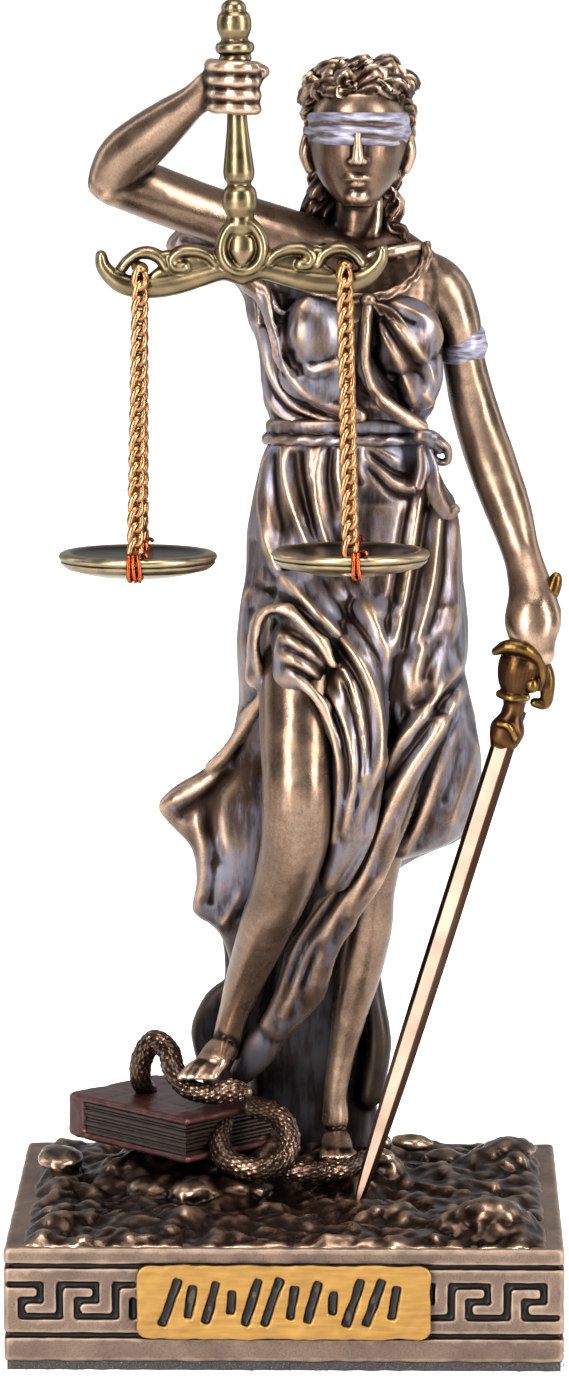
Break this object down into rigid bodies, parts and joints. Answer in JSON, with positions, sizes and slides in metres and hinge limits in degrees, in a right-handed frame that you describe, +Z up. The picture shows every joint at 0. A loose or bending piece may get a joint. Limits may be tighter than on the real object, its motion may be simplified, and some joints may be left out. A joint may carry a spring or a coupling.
{
  "type": "lady justice figurine",
  "caption": "Blindfolded lady justice figurine in bronze resin on a plinth, with a hanging brass scale, a lowered sword, a book and a serpent.",
  "frame": {"origin": "centre of the felt pad's underside", "axes": "+Z up along the figure's height, -Y to the front where she faces, +X to the viewer's right"},
  "size_m": [0.0383, 0.0325, 0.0923],
  "materials": {
    "bronze_resin": "cold-cast bronze resin, burnished metallic skin with dark recesses and a lilac dry-brush on the cloth",
    "sword_bronze": "satin bronze blade with a gilt hilt",
    "antique_brass": "antique brass, dark in the recesses",
    "chain_brass": "coppery brass curb chain",
    "copper_wire": "bright bare copper wire",
    "felt": "dark pressed felt"
  },
  "bodies": {
    "root": {"statue": "bronze_resin", "sword": "sword_bronze", "scale_beam": "antique_brass", "scale_chain_left": "chain_brass", "scale_chain_right": "chain_brass", "scale_pan_left": "antique_brass", "scale_pan_right": "antique_brass", "pan_tie_left_front": "copper_wire", "pan_tie_left_back": "copper_wire", "pan_tie_right_front": "copper_wire", "pan_tie_right_back": "copper_wire", "felt_pad": "felt"}
  },
  "joints": []
}
